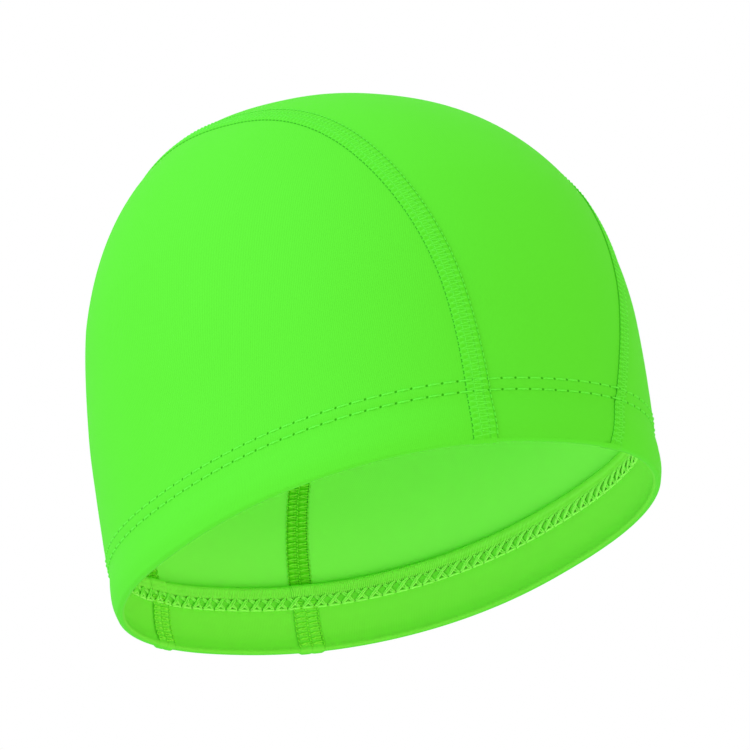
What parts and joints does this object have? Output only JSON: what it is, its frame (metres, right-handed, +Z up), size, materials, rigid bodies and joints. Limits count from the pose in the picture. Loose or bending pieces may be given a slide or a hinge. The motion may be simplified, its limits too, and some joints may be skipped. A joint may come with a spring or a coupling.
{
  "type": "swim cap",
  "caption": "Stretch-knit swim cap in its worn form: side panels and a centre panel joined by raised flat seams, open below, with a folded-in stitched hem.",
  "frame": {"origin": "underside of the crown's highest place, where the cap sits on the top of the head", "axes": "+Z up through the crown as worn, -Y towards the front of the cap, +X towards the right-hand side as seen from the front"},
  "size_m": [0.1642, 0.1994, 0.1782],
  "materials": {
    "panel_knit": "fine stretch knit in neon green, soft matt sheen",
    "seam_thread": "raised flat seam of neon green thread, matt, pitted by needle holes",
    "hem_knit": "fine stretch knit in neon green, matt, with an overlocked edge"
  },
  "bodies": {
    "root": {"centre_panel": "panel_knit", "side_panel_left": "panel_knit", "side_panel_right": "panel_knit", "seam_left": "seam_thread", "seam_right": "seam_thread", "hem_facing": "hem_knit"}
  },
  "joints": []
}
